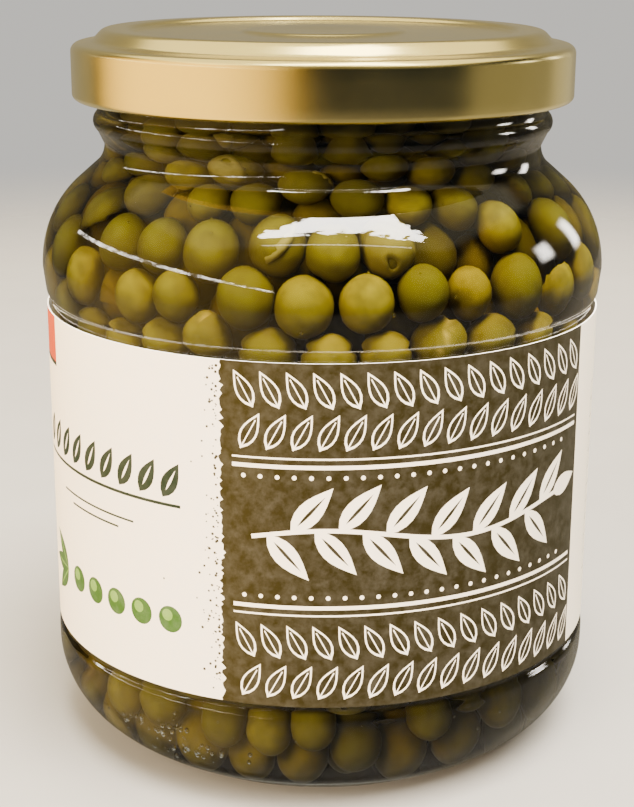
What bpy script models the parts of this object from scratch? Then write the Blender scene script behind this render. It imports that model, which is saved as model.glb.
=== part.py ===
"""A glass jar of peas in brine, with a twist-off tinplate lid and a paper label.

Units are metres, +Z is up, and the origin is at the middle of the jar's base.
The label's printed front faces -Y. The lid turns about the Z axis and rises
along it. Every round piece is turned from an outline of (radius, height) points.
"""

import math
import random

import bmesh
import bpy
from mathutils import Vector

MM = 0.001
CLEARANCE = 0.3 * MM  # between pieces that touch on the real object

# Jar body
BODY_RADIUS = 40.0 * MM
BAND_RADIUS = 40.1 * MM  # the band below the label
PANEL_RADIUS = 39.4 * MM  # the recess that protects the label
PANEL_BOTTOM = 16.1 * MM
PANEL_TOP = 65.2 * MM
PANEL_STEP = 0.9 * MM  # height of the slope at each end of the recess
SHOULDER_RADIUS = 40.4 * MM
SHOULDER_HEIGHT = 69.7 * MM
SHOULDER_ARC = 14.0 * MM  # how far the shoulder's curve goes in
SHOULDER_STRETCH = 1.07  # its rise, as a share of a round arc's
NECK_RADIUS = 31.1 * MM
NECK_HEIGHT = 86.7 * MM
NECK_ARC = 4.0 * MM
WALL = 2.4 * MM

# Base
REST_INNER_RADIUS = 28.4 * MM  # the flat ring that the jar stands on
REST_OUTER_RADIUS = 30.6 * MM
HEEL_HEIGHT = 13.2 * MM  # where the heel's curve meets the straight side
HEEL_RADIUS = 13.0 * MM
INNER_HEEL_RADIUS = 10.0 * MM
PUNT_RADIUS = 20.0 * MM  # the flatter middle of the base and of the floor
PUNT_HEIGHT = 2.4 * MM
PUNT_DOME = 0.7 * MM  # rise of that middle above its edge
FLOOR_HEIGHT = 5.2 * MM

# Finish: the moulded top that takes the lid
BEAD_RADIUS = 32.6 * MM
BEAD_HEIGHT = 89.9 * MM
BEAD_ARC = 1.6 * MM
FINISH_RADIUS = 31.8 * MM
MOUTH_RADIUS = 28.9 * MM
RIM_HEIGHT = 100.1 * MM
RIM_ARC = 1.1 * MM
THREAD_STARTS = 4
THREAD_LENGTH_DEG = 60.0
THREAD_LEAD_DEG = 8.0  # how far a ramp's low end runs past the lug of the closed lid
THREAD_RADIUS = 33.2 * MM
THREAD_ROOT_RADIUS = 31.0 * MM
THREAD_HALF_HEIGHT = 0.65 * MM
THREAD_LOW = 96.0 * MM  # height of the end that the lug is drawn under
THREAD_SLOPE = 0.02 * MM  # rise for each degree
THREAD_STEPS = 10

# Lid
LID_RADIUS = 35.4 * MM
LID_SHEET = 0.5 * MM
LID_BOTTOM = 92.9 * MM
CURL_RADIUS = 0.8 * MM
KNEE_RADIUS = 1.2 * MM
LEDGE_HEIGHT = 100.6 * MM
LEDGE_SLOPE = 0.3 * MM  # its rise towards the step
STEP_WIDTH = 1.5 * MM  # from the ledge up to the raised ring
RING_RADIUS = 30.8 * MM  # outer edge of the raised ring over the seal
RING_INNER_RADIUS = 27.6 * MM
RING_SLOPE = 0.8 * MM
LID_TOP = 102.5 * MM
PANEL_DROP = 0.6 * MM  # of the centre panel below the raised ring
BUTTON_RADIUS = 11.0 * MM
BUTTON_RISE = 0.35 * MM
BUTTON_DISH = 0.25 * MM  # the vacuum draws its middle down
LUG_RADIUS = 32.3 * MM  # how far in the lugs reach
LUG_HALF_DEG = 3.75  # half of a lug's straight part, which fades over twice as much
LUG_AT_DEG = 18.75  # the first lug, from +X; the others are spaced evenly

# Seal
SEAL_INNER_RADIUS = 28.4 * MM
SEAL_OUTER_RADIUS = 30.4 * MM
SEAL_THICKNESS = 1.0 * MM

# Label
LABEL_BOTTOM = 17.1 * MM
LABEL_TOP = 64.1 * MM
LABEL_SHEET = 0.25 * MM
LABEL_GAP_DEG = 14.0  # bare strip at the back, where the two ends stop short

# Contents
BRINE_SHEET = 0.8 * MM
BRINE_TOP = 95.3 * MM
BRINE_SKIRT = 8.0 * MM  # the height that the jacket of liquid reaches down to
PEA_RADIUS = 3.6 * MM
PEA_SUNK = 0.5 * MM  # a pea's middle below the core's surface
PEA_LEAST_SIZE = 0.92
PEA_COUNT = 96
PEA_SEED = 7
GOLDEN_ANGLE = math.pi * (3.0 - math.sqrt(5.0))

# Facets
JAR_SIDES = 36
LID_SIDES = 48
CONTENTS_SIDES = 24
BED_SIDES = 16
PEA_SIDES = 10
PEA_RINGS = 6
CREASE_DEG = 30.0


def clear_scene():
    for item in list(bpy.data.objects):
        bpy.data.objects.remove(item, do_unlink=True)


def plain_material(name, colour, roughness, metallic=0.0, alpha=1.0, transmission=0.0):
    """A Principled material with one colour."""
    material = bpy.data.materials.new(name)
    material.use_nodes = True
    shader = material.node_tree.nodes["Principled BSDF"]
    shader.inputs["Base Color"].default_value = (*colour, 1.0)
    shader.inputs["Roughness"].default_value = roughness
    shader.inputs["Metallic"].default_value = metallic
    shader.inputs["Alpha"].default_value = alpha
    shader.inputs["Transmission Weight"].default_value = transmission
    return material


def add_object(name, bm, material):
    """Makes a named object of the bmesh, with its faces out, shaded smooth."""
    bmesh.ops.recalc_face_normals(bm, faces=bm.faces)
    mesh = bpy.data.meshes.new(name)
    bm.to_mesh(mesh)
    bm.free()
    mesh.materials.append(material)
    mesh.shade_smooth()
    mesh.set_sharp_from_angle(angle=math.radians(CREASE_DEG))
    item = bpy.data.objects.new(name, mesh)
    bpy.context.collection.objects.link(item)
    return item


def fuse(target, pieces):
    """Joins the pieces to the target with one Boolean union and removes them."""
    group = bpy.data.collections.new(target.name + "_pieces")
    for piece in pieces:
        group.objects.link(piece)
    union = target.modifiers.new("fuse", "BOOLEAN")
    union.operation = "UNION"
    union.operand_type = "COLLECTION"
    union.collection = group
    with bpy.context.temp_override(object=target, active_object=target):
        bpy.ops.object.modifier_apply(modifier=union.name)
    for piece in pieces:
        bpy.data.objects.remove(piece, do_unlink=True)
    bpy.data.collections.remove(group)


def arc(centre, radius, start_deg, end_deg, steps, stretch=1.0):
    """Points of an outline's round stretch, both ends included."""
    points = []
    for step in range(steps + 1):
        angle = math.radians(start_deg + (end_deg - start_deg) * step / steps)
        rise = stretch * radius * math.sin(angle)
        points.append((centre[0] + radius * math.cos(angle), centre[1] + rise))
    return points


def inset_line(line, distance):
    """The line moved towards the jar's inside, square to each of its stretches."""
    normals = []
    for (r0, z0), (r1, z1) in zip(line, line[1:]):
        length = math.hypot(r1 - r0, z1 - z0)
        normals.append(((z0 - z1) / length, (r1 - r0) / length))
    moved = []
    for (r, z), before, after in zip(line, normals[:1] + normals, normals + normals[-1:]):
        share = distance / (1.0 + before[0] * after[0] + before[1] * after[1])
        moved.append((r + share * (before[0] + after[0]), z + share * (before[1] + after[1])))
    return moved


def join_rings(bm, lower, upper):
    """Faces between two rings, either of which may be one point on the axis."""
    count = max(len(lower), len(upper))
    if count == 1:
        return
    for side in range(count):
        after = (side + 1) % count
        if len(lower) == 1:
            bm.faces.new((lower[0], upper[after], upper[side]))
        elif len(upper) == 1:
            bm.faces.new((lower[side], lower[after], upper[0]))
        else:
            bm.faces.new((lower[side], lower[after], upper[after], upper[side]))


def turn(outline, sides, shape=None):
    """Turns a closed outline about Z.

    A point on the axis becomes one vertex. shape(radius, height, angle), if
    given, returns the radius that a point takes at that angle.
    """
    bm = bmesh.new()
    rings = []
    for radius, height in outline:
        if radius == 0.0:
            rings.append([bm.verts.new((0.0, 0.0, height))])
            continue
        ring = []
        for side in range(sides):
            angle = 2.0 * math.pi * side / sides
            r = shape(radius, height, angle) if shape else radius
            ring.append(bm.verts.new((r * math.cos(angle), r * math.sin(angle), height)))
        rings.append(ring)
    for lower, upper in zip(rings, rings[1:] + rings[:1]):
        join_rings(bm, lower, upper)
    return bm


def sweep(sections):
    """A closed strip through four-cornered sections, with flat ends."""
    bm = bmesh.new()
    columns = [[bm.verts.new(point) for point in section] for section in sections]
    for near, far in zip(columns, columns[1:]):
        for corner in range(4):
            after = (corner + 1) % 4
            bm.faces.new((near[corner], near[after], far[after], far[corner]))
    bm.faces.new(columns[0])
    bm.faces.new(columns[-1])
    return bm


def around(angle, corners):
    """The (radius, height) corners of a section, stood at an angle about Z."""
    return [(r * math.cos(angle), r * math.sin(angle), z) for r, z in corners]


def outer_jar_line():
    """The jar's outside, from the middle of the base up to the rim."""
    heel = arc((BAND_RADIUS - HEEL_RADIUS, HEEL_HEIGHT), HEEL_RADIUS, -70.0, 0.0, 6)
    shoulder_middle = (SHOULDER_RADIUS - SHOULDER_ARC, SHOULDER_HEIGHT)
    shoulder = arc(shoulder_middle, SHOULDER_ARC, 0.0, 52.0, 5, SHOULDER_STRETCH)
    neck_turn = arc((NECK_RADIUS + NECK_ARC, NECK_HEIGHT), NECK_ARC, 225.0, 180.0, 2)
    bead = arc((BEAD_RADIUS - BEAD_ARC, BEAD_HEIGHT), BEAD_ARC, -60.0, 60.0, 4)
    rim = arc((FINISH_RADIUS - RIM_ARC, RIM_HEIGHT - RIM_ARC), RIM_ARC, 0.0, 90.0, 3)
    return [
        (0.0, PUNT_HEIGHT),
        (PUNT_RADIUS, PUNT_HEIGHT - PUNT_DOME),
        (REST_INNER_RADIUS - 1.5 * MM, 0.3 * PUNT_HEIGHT),
        (REST_INNER_RADIUS, 0.0),
        (REST_OUTER_RADIUS, 0.0),
        *heel,
        (BAND_RADIUS, PANEL_BOTTOM - PANEL_STEP),
        (PANEL_RADIUS, PANEL_BOTTOM),
        (PANEL_RADIUS, PANEL_TOP),
        (BODY_RADIUS, PANEL_TOP + PANEL_STEP),
        *shoulder,
        *neck_turn,
        *bead,
        *rim,
    ]


def inner_wall_line():
    """The jar's inside, from the middle of the floor up to the neck."""
    inner = PANEL_RADIUS - WALL
    heel = arc((inner - INNER_HEEL_RADIUS, HEEL_HEIGHT), INNER_HEEL_RADIUS, -70.0, 0.0, 3)
    stretches = 5
    rise = (PANEL_TOP - HEEL_HEIGHT) / stretches
    panel = [(inner, HEEL_HEIGHT + rise * number) for number in range(1, stretches)]
    shoulder_middle = (SHOULDER_RADIUS - SHOULDER_ARC - 0.4 * MM, SHOULDER_HEIGHT)
    shoulder = arc(shoulder_middle, SHOULDER_ARC - WALL, 0.0, 60.0, 4, SHOULDER_STRETCH)
    return [
        (0.0, FLOOR_HEIGHT),
        (PUNT_RADIUS, FLOOR_HEIGHT - PUNT_DOME),
        *heel,
        *panel,
        *shoulder,
        (MOUTH_RADIUS, NECK_HEIGHT),
        (MOUTH_RADIUS, BEAD_HEIGHT),
    ]


def make_thread_ramp(start_deg, glass):
    """One raised ramp of the finish, its root sunk in the glass."""
    sections = []
    for step in range(THREAD_STEPS + 1):
        share = step / THREAD_STEPS
        along_deg = THREAD_LENGTH_DEG * share
        fade = min(1.0, 0.35 + 5.0 * min(share, 1.0 - share))
        crest = THREAD_ROOT_RADIUS + (THREAD_RADIUS - THREAD_ROOT_RADIUS) * fade
        middle = THREAD_LOW + THREAD_SLOPE * along_deg
        corners = [
            (THREAD_ROOT_RADIUS, middle - 1.5 * THREAD_HALF_HEIGHT),
            (crest, middle - 0.5 * THREAD_HALF_HEIGHT),
            (crest, middle + 0.5 * THREAD_HALF_HEIGHT),
            (THREAD_ROOT_RADIUS, middle + 1.5 * THREAD_HALF_HEIGHT),
        ]
        sections.append(around(math.radians(start_deg + along_deg), corners))
    return add_object("ramp", sweep(sections), glass)


def make_glass_jar():
    """A pressed and blown shell with four thread ramps."""
    glass = plain_material("clear_glass", (0.86, 0.92, 0.88), 0.03, alpha=0.35, transmission=1.0)
    mouth = arc((MOUTH_RADIUS + RIM_ARC, RIM_HEIGHT - RIM_ARC), RIM_ARC, 90.0, 180.0, 2)
    outline = outer_jar_line() + mouth + inner_wall_line()[::-1]
    jar = add_object("glass_jar", turn(outline, JAR_SIDES), glass)
    first_deg = LUG_AT_DEG - THREAD_LEAD_DEG
    spacing_deg = 360.0 / THREAD_STARTS
    ramps = [make_thread_ramp(first_deg + spacing_deg * n, glass) for n in range(THREAD_STARTS)]
    fuse(jar, ramps)


def lid_outline():
    """The sheet's outline: up the outside, over the top, back inside, round the curl."""
    knee_middle = (LID_RADIUS - KNEE_RADIUS, LEDGE_HEIGHT - KNEE_RADIUS)
    step_foot = LEDGE_HEIGHT + LEDGE_SLOPE
    panel = LID_TOP - PANEL_DROP
    button = panel + BUTTON_RISE
    outside = [
        *arc(knee_middle, KNEE_RADIUS, 0.0, 75.0, 4),
        (RING_RADIUS + STEP_WIDTH, step_foot),
        (RING_RADIUS + LID_SHEET, LID_TOP - LID_SHEET),
        (RING_RADIUS, LID_TOP),
        (RING_INNER_RADIUS, LID_TOP),
        (RING_INNER_RADIUS - RING_SLOPE, panel),
        (BUTTON_RADIUS + RING_SLOPE, panel),
        (BUTTON_RADIUS, button),
        (0.7 * BUTTON_RADIUS, button),
        (0.0, button - BUTTON_DISH),
    ]
    inside = [(r, z - LID_SHEET) for r, z in outside[:-7:-1]]
    inside += [
        (RING_RADIUS - 0.3 * MM, LID_TOP - LID_SHEET),
        (RING_RADIUS + 0.1 * MM, LID_TOP - 1.8 * LID_SHEET),
        (RING_RADIUS + STEP_WIDTH - 0.4 * MM, step_foot - LID_SHEET),
        *arc(knee_middle, KNEE_RADIUS - LID_SHEET, 75.0, 0.0, 3),
    ]
    curl_middle = (LID_RADIUS - CURL_RADIUS, LID_BOTTOM + CURL_RADIUS)
    return outside + inside + arc(curl_middle, CURL_RADIUS, 130.0, 360.0, 7)


def lug_share(angle):
    """1 along a lug's straight part and 0 between the lugs."""
    pitch = 360.0 / THREAD_STARTS
    away = abs((math.degrees(angle) - LUG_AT_DEG + 0.5 * pitch) % pitch - 0.5 * pitch)
    return 1.0 - min(max((away - LUG_HALF_DEG) / (2.0 * LUG_HALF_DEG), 0.0), 1.0)


def draw_in_lugs(radius, height, angle):
    """Draws the rolled lower edge inwards where a lug stands."""
    curl_middle = LID_RADIUS - CURL_RADIUS
    if radius > curl_middle or height > LID_BOTTOM + 2.2 * CURL_RADIUS:
        return radius
    plain = curl_middle - CURL_RADIUS
    depth = (curl_middle - radius) / CURL_RADIUS
    return radius - (plain - LUG_RADIUS) * depth * lug_share(angle)


def make_lid_shell():
    """The tinplate cap, drawn from sheet, with four lugs in its rolled edge."""
    gold = plain_material("gold_lacquered_tinplate", (0.60, 0.47, 0.22), 0.32, metallic=1.0)
    add_object("lid_shell", turn(lid_outline(), LID_SIDES, draw_in_lugs), gold)


def make_sealing_ring():
    """The ring of compound that the lid presses on the rim."""
    compound = plain_material("sealing_compound", (0.78, 0.76, 0.70), 0.55)
    bottom = RIM_HEIGHT + CLEARANCE
    top = bottom + SEAL_THICKNESS
    outline = [
        (SEAL_OUTER_RADIUS, bottom),
        (SEAL_OUTER_RADIUS, top - CLEARANCE),
        (SEAL_OUTER_RADIUS - CLEARANCE, top),
        (SEAL_INNER_RADIUS + CLEARANCE, top),
        (SEAL_INNER_RADIUS, top - CLEARANCE),
        (SEAL_INNER_RADIUS, bottom),
    ]
    add_object("sealing_ring", turn(outline, JAR_SIDES), compound)


def make_paper_label():
    """A strip round the panel, its two ends a short way apart at the back."""
    paper = plain_material("coated_paper", (0.92, 0.90, 0.85), 0.55)
    inner = BODY_RADIUS - LABEL_SHEET
    corners = [
        (inner, LABEL_BOTTOM),
        (BODY_RADIUS, LABEL_BOTTOM),
        (BODY_RADIUS, LABEL_TOP),
        (inner, LABEL_TOP),
    ]
    first_deg = 90.0 + 0.5 * LABEL_GAP_DEG
    step_deg = (360.0 - LABEL_GAP_DEG) / JAR_SIDES
    sections = [
        around(math.radians(first_deg + step_deg * number), corners)
        for number in range(JAR_SIDES + 1)
    ]
    add_object("paper_label", sweep(sections), paper)


def make_brine():
    """The liquid as a thin jacket inside the glass, closed over the peas.

    It is open below, so that it seals nothing in.
    """
    liquid = plain_material("brine", (0.20, 0.19, 0.07), 0.05, alpha=0.6, transmission=0.8)
    wall = [point for point in inner_wall_line() if point[1] > BRINE_SKIRT]
    outside = inset_line(wall, CLEARANCE)
    inside = inset_line(wall, CLEARANCE + BRINE_SHEET)
    top = [
        (outside[-1][0], BRINE_TOP),
        (0.0, BRINE_TOP),
        (0.0, BRINE_TOP - BRINE_SHEET),
        (inside[-1][0], BRINE_TOP - BRINE_SHEET),
    ]
    add_object("brine", turn(outside + top + inside[::-1], CONTENTS_SIDES), liquid)


def bed_line():
    """The core's surface, from the middle of the floor up to the middle of the top."""
    standing_out = PEA_RADIUS - PEA_SUNK
    line = inset_line(inner_wall_line(), 3.0 * CLEARANCE + BRINE_SHEET + standing_out)
    top = BRINE_TOP - BRINE_SHEET - CLEARANCE - standing_out
    side = [point for point in line if point[1] < top]
    side[0] = (0.0, side[0][1])
    return [*side, (side[-1][0], top), (0.0, top)]


def walk_line(line, count):
    """Yields even places over a turned line's area, each as a point and its outward slope."""
    stretches = []
    for (r0, z0), (r1, z1) in zip(line, line[1:]):
        length = math.hypot(r1 - r0, z1 - z0)
        stretches.append((length * (r0 + r1) * 0.5, length, r0, z0, r1, z1))
    total = sum(stretch[0] for stretch in stretches)
    for number in range(count):
        target = total * (number + 0.5) / count
        for area, length, r0, z0, r1, z1 in stretches:
            if target > area:
                target -= area
                continue
            share = target / area
            if abs(r1 - r0) > 1e-9:
                radius = math.sqrt(r0 * r0 + (r1 * r1 - r0 * r0) * share)
                share = (radius - r0) / (r1 - r0)
            point = (r0 + (r1 - r0) * share, z0 + (z1 - z0) * share)
            yield point, ((z1 - z0) / length, (r0 - r1) / length)
            break


def make_peas():
    """A bed of peas: a smaller core with true-size peas sunk halfway into it.

    The peas follow a golden-angle spiral over the core, which spaces them
    evenly on every side. Each stands square to the surface, at its own size.
    """
    skin = plain_material("cooked_pea", (0.36, 0.32, 0.06), 0.5)
    core = add_object("peas", turn(bed_line(), BED_SIDES), skin)
    draw = random.Random(PEA_SEED)
    peas = []
    for number, (point, slope) in enumerate(walk_line(bed_line(), PEA_COUNT)):
        size = PEA_RADIUS * draw.uniform(PEA_LEAST_SIZE, 1.0)
        bm = bmesh.new()
        bmesh.ops.create_uvsphere(bm, u_segments=PEA_SIDES, v_segments=PEA_RINGS, radius=size)
        pea = add_object("pea", bm, skin)
        angle = number * GOLDEN_ANGLE
        place = Vector((point[0] * math.cos(angle), point[0] * math.sin(angle), point[1]))
        out = Vector((slope[0] * math.cos(angle), slope[0] * math.sin(angle), slope[1]))
        pea.location = place - PEA_SUNK * out
        pea.rotation_mode = "QUATERNION"
        pea.rotation_quaternion = out.to_track_quat("Z", "Y")
        peas.append(pea)
    bpy.context.view_layer.update()
    fuse(core, peas)


def main():
    clear_scene()
    make_glass_jar()
    make_lid_shell()
    make_sealing_ring()
    make_paper_label()
    make_brine()
    make_peas()


main()
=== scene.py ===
# %% [markdown]
# # Dressing a glass jar of peas
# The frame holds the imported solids: jar, lid, sealing ring, label, peas and brine.
# They are right in size but plain. This lesson replaces each of them by a finer
# piece in the same place, and gives every surface the finish of its real material.
# Lengths are in metres, +Z is up, and the label's printed front faces -Y.

# %% Load the frame
import math
from functools import partial

import bmesh
import bpy
import numpy as np
from mathutils import Matrix, Vector
from mathutils.geometry import delaunay_2d_cdt


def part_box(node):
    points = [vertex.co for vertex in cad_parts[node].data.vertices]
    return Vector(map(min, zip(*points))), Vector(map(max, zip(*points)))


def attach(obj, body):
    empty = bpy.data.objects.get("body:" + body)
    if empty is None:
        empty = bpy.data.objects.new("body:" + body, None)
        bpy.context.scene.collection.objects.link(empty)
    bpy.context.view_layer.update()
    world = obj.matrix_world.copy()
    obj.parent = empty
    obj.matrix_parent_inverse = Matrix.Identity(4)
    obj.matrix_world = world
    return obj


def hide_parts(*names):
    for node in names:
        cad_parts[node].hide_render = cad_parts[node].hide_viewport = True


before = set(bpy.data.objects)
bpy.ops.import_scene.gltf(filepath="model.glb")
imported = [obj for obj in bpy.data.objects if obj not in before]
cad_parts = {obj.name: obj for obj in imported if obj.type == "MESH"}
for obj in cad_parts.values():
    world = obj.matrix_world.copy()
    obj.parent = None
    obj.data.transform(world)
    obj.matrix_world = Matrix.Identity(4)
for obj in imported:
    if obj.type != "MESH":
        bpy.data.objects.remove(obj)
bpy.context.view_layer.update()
print("CAD nodes:", sorted(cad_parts))

# %% [markdown]
# ## Sizes
# The outer sizes are read from the frame, so the fine pieces always fit it. The
# smaller ones are those of a 370 ml jar with a 70 mm twist-off cap, in millimetres.

# %% Sizes read from the frame
MM = 0.001
_, jar_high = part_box("glass_jar")
lid_low, lid_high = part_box("lid_shell")
label_low, label_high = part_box("paper_label")
_, brine_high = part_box("brine")
SHOULDER_RADIUS = jar_high.x
RIM_HEIGHT = jar_high.z
LID_RADIUS = lid_high.x
LID_BOTTOM = lid_low.z
LID_TOP = lid_high.z
LABEL_RADIUS = -label_low.y
LABEL_BOTTOM = label_low.z
LABEL_TOP = label_high.z
BRINE_TOP = brine_high.z
print("jar and lid radius, top, in mm:", [round(v / MM, 1) for v in (SHOULDER_RADIUS, LID_RADIUS, LID_TOP)])

# %% [markdown]
# ## The camera
# The photo was taken from about 24 cm away, a little above the lid. A camera that
# close shows perspective strongly: the lid's top and the curve of the label's
# edges only come out right with the true distance, so place and lens were fitted
# to the jar's outline first, and then never moved.

# %% Camera
CAMERA_PLACE = Vector((0.0, -236.64, 116.85)) * MM
CAMERA_DOWN = math.radians(16.39)
CAMERA_LEFT = math.radians(0.16)
CAMERA_ROLL = math.radians(0.24)
LENS = 73.2  # mm, on a sensor 36 mm along the picture's long side

forward = Vector((
    -math.sin(CAMERA_LEFT) * math.cos(CAMERA_DOWN),
    math.cos(CAMERA_LEFT) * math.cos(CAMERA_DOWN),
    -math.sin(CAMERA_DOWN),
))
right = forward.cross(Vector((0.0, 0.0, 1.0))).normalized()
up = right.cross(forward)
roll = Matrix.Rotation(-CAMERA_ROLL, 3, forward)
axes = Matrix((roll @ right, roll @ up, -forward)).transposed()
camera = bpy.data.objects.new("camera", bpy.data.cameras.new("camera"))
camera.data.lens = LENS
camera.data.clip_start = 0.01
camera.matrix_world = Matrix.Translation(CAMERA_PLACE) @ axes.to_4x4()
bpy.context.collection.objects.link(camera)
bpy.context.scene.camera = camera
print("camera", [round(1000 * v) for v in camera.location], "mm")

# %% [markdown]
# ## Helpers for materials
# Colours are written as the hex codes that a paint program shows. Blender works
# with linear light, so one function translates. Another adds any node with its
# settings and links, which keeps each material to a few readable lines.

# %% Colour and node helpers
def linear(code):
    """The linear RGBA of an sRGB hex code."""
    channels = [int(code[start:start + 2], 16) / 255.0 for start in (1, 3, 5)]
    return [c / 12.92 if c <= 0.04045 else ((c + 0.055) / 1.055) ** 2.4 for c in channels] + [1.0]


def in_use(sockets, name=None):
    """The first socket in use, of that name if one is given. A Mix node hides several of each name."""
    return next(socket for socket in sockets if socket.enabled and name in (None, socket.name))


def add_node(tree, kind, inputs=None, **settings):
    """Adds a shader node. An input takes a number, a hex colour, or what it is linked to."""
    node = tree.nodes.new("ShaderNode" + kind)
    for name, value in settings.items():
        setattr(node, name, value)
    for key, value in (inputs or {}).items():
        socket = node.inputs[key] if isinstance(key, int) else in_use(node.inputs, key)
        if isinstance(value, bpy.types.Node):
            value = in_use(value.outputs)
        if isinstance(value, bpy.types.NodeSocket):
            tree.links.new(value, socket)
        else:
            socket.default_value = linear(value) if isinstance(value, str) else value
    return node


def new_material(name):
    """An empty material, and what adds a node to it."""
    material = bpy.data.materials.new(name)
    material.use_nodes = True
    material.node_tree.nodes.clear()
    return material, partial(add_node, material.node_tree)


print("olive as linear light:", [round(c, 3) for c in linear("#8E8A2A")])

# %% [markdown]
# ## Helpers for shapes
# Jar, lid, seal and brine are all round, so each is turned: an outline of
# (radius, height) points goes round the axis. Real glass and sheet metal have no
# sharp corners, and a highlight lives on the round of an edge, so another helper
# rounds an outline's corners before it is turned.

# %% Outlines
ROUND_STEPS = 6


def arc(centre, radius, start_deg, end_deg, steps, stretch=1.0):
    """Points of a round stretch, both ends included; stretch makes it taller."""
    angles = np.radians(np.linspace(start_deg, end_deg, steps + 1))
    return [(centre[0] + radius * math.cos(a), centre[1] + stretch * radius * math.sin(a)) for a in angles]


def rounded(corners):
    """A line through (radius, height) corners; a corner with a third number is rounded by that much."""
    line = []
    for number, corner in enumerate(corners):
        here = Vector(corner[:2])
        if len(corner) == 2 or number in (0, len(corners) - 1):
            line.append(tuple(here))
            continue
        before = Vector(corners[number - 1][:2]) - here
        after = Vector(corners[number + 1][:2]) - here
        cut = min(corner[2], 0.45 * before.length, 0.45 * after.length)
        start, end = here + before.normalized() * cut, here + after.normalized() * cut
        for step in range(ROUND_STEPS + 1):
            t = step / ROUND_STEPS
            line.append(tuple(start * (1 - t) ** 2 + here * (2 * t * (1 - t)) + end * t * t))
    return line


def offset(line, distance):
    """The line moved to its left by a distance."""
    points = np.array(line)
    along = np.gradient(points, axis=0)
    along /= np.linalg.norm(along, axis=1)[:, None]
    return [tuple(p) for p in points + distance * np.stack([-along[:, 1], along[:, 0]], 1)]


def refine(line, longest):
    """The line with points added, so that no stretch is longer than asked."""
    fine = [line[0]]
    for start, end in zip(line, line[1:]):
        parts = max(1, math.ceil(math.dist(start, end) / longest))
        fine += [tuple(np.array(start) + (np.array(end) - start) * n / parts) for n in range(1, parts + 1)]
    return fine


# %% Turning
def turn(name, line, sides, shape=None):
    """A closed outline turned about Z. A point on the axis becomes one vertex."""
    places, rings, faces = [], [], []
    for radius, height in line:
        if radius < 1e-7:
            rings.append([len(places)])
            places.append((0.0, 0.0, height))
            continue
        rings.append(list(range(len(places), len(places) + sides)))
        for side in range(sides):
            angle = 2.0 * math.pi * side / sides
            r = shape(radius, height, angle) if shape else radius
            places.append((r * math.cos(angle), r * math.sin(angle), height))
    for lower, upper in zip(rings, rings[1:] + rings[:1]):
        if len(lower) == len(upper) == 1:
            continue
        for side in range(sides):
            after = (side + 1) % sides
            low = (lower[side], lower[after]) if len(lower) > 1 else (lower[0],)
            high = (upper[after], upper[side]) if len(upper) > 1 else (upper[0],)
            faces.append(low + high)
    mesh = bpy.data.meshes.new(name)
    mesh.from_pydata(places, [], faces)
    return add_piece(name, mesh)


def add_piece(name, mesh):
    """Links a mesh as a piece of the scene, with its faces out and shaded smooth."""
    bm = bmesh.new()
    bm.from_mesh(mesh)
    bmesh.ops.recalc_face_normals(bm, faces=bm.faces)
    bm.to_mesh(mesh)
    bm.free()
    mesh.shade_smooth()
    piece = bpy.data.objects.new(name, mesh)
    bpy.context.collection.objects.link(piece)
    return piece


print("a rounded corner has", len(rounded([(0, 0), (1, 0, 0.2), (1, 1)])), "points")

# %% [markdown]
# ## The floor
# A plain pale table. It is a disc whose edge fades out into the equally pale
# surroundings, so no horizon cuts the picture from any side. A faint mottle
# keeps it from looking like a computed flat colour.

# %% Floor
FLOOR_RADIUS = 0.62
FLOOR_FADE_FROM = 0.30
FLOOR_GAP = 0.02 * MM  # keeps the floor out of the base's own plane
BOARD_MOTTLE = 60.0  # spots to a metre, each about 17 mm wide
LOST_IN_MIRRORS = 0.85  # how much of the floor glass and lid don't show

material, add = new_material("matt_board")
place = add("TexCoord").outputs["Object"]
mottle = add("TexNoise", {"Vector": place, "Scale": BOARD_MOTTLE, "Detail": 4.0})
tint = add("Mix", {"Factor": mottle, "A": "#827F7A", "B": "#888580"}, data_type="RGBA")
board = add("BsdfPrincipled", {"Base Color": tint, "Roughness": 0.7})
away = add("VectorMath", {0: place}, operation="LENGTH")
limits = {"Value": away, "From Min": FLOOR_FADE_FROM, "From Max": FLOOR_RADIUS * 0.98}
fade = add("MapRange", limits, interpolation_type="SMOOTHSTEP")
ray = add("LightPath")
in_mirror = add("Math", {0: ray.outputs["Is Glossy Ray"], 1: LOST_IN_MIRRORS}, operation="MULTIPLY")
gone = add("Math", {0: fade, 1: in_mirror}, operation="MAXIMUM")
surface = add("MixShader", {0: gone, 1: board, 2: add("BsdfTransparent")})
add("OutputMaterial", {"Surface": surface})

bm = bmesh.new()
bmesh.ops.create_circle(bm, cap_ends=True, segments=96, radius=FLOOR_RADIUS)
mesh = bpy.data.meshes.new("floor")
bm.to_mesh(mesh)
bm.free()
mesh.materials.append(material)
floor = bpy.data.objects.new("floor", mesh)
bpy.context.collection.objects.link(floor)
floor.location.z = -FLOOR_GAP
print("floor", 2 * FLOOR_RADIUS, "m across")

# %% [markdown]
# ## What the glass and the gold mirror
# Glass and gold have no look of their own: they show the room. So the room is
# drawn first, as seen from the jar: a ceiling with a window, a wall in warm
# lamplight with a bright ledge on the left, a darker room in front, and two lamps
# on the right. Each is a patch on a flat wall or ceiling, placed by tangents: how
# far across and how far up a place is, for each metre away. Noise frays the
# window's edges, as the slight waves of real glass do.

# %% Walls of the room
FRAY = 0.11

world = bpy.data.worlds.new("studio")
bpy.context.scene.world = world
world.use_nodes = True
world.node_tree.nodes.clear()
sky = partial(add_node, world.node_tree)
ray = sky("LightPath")
sight = sky("TexCoord").outputs["Generated"]
uneven = sky("TexNoise", {"Vector": sight, "Scale": 13.0, "Detail": 4.0})
wobble = sky("MapRange", {"Value": uneven, "From Min": 0.3, "From Max": 0.7, "To Min": -FRAY, "To Max": FRAY})


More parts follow.
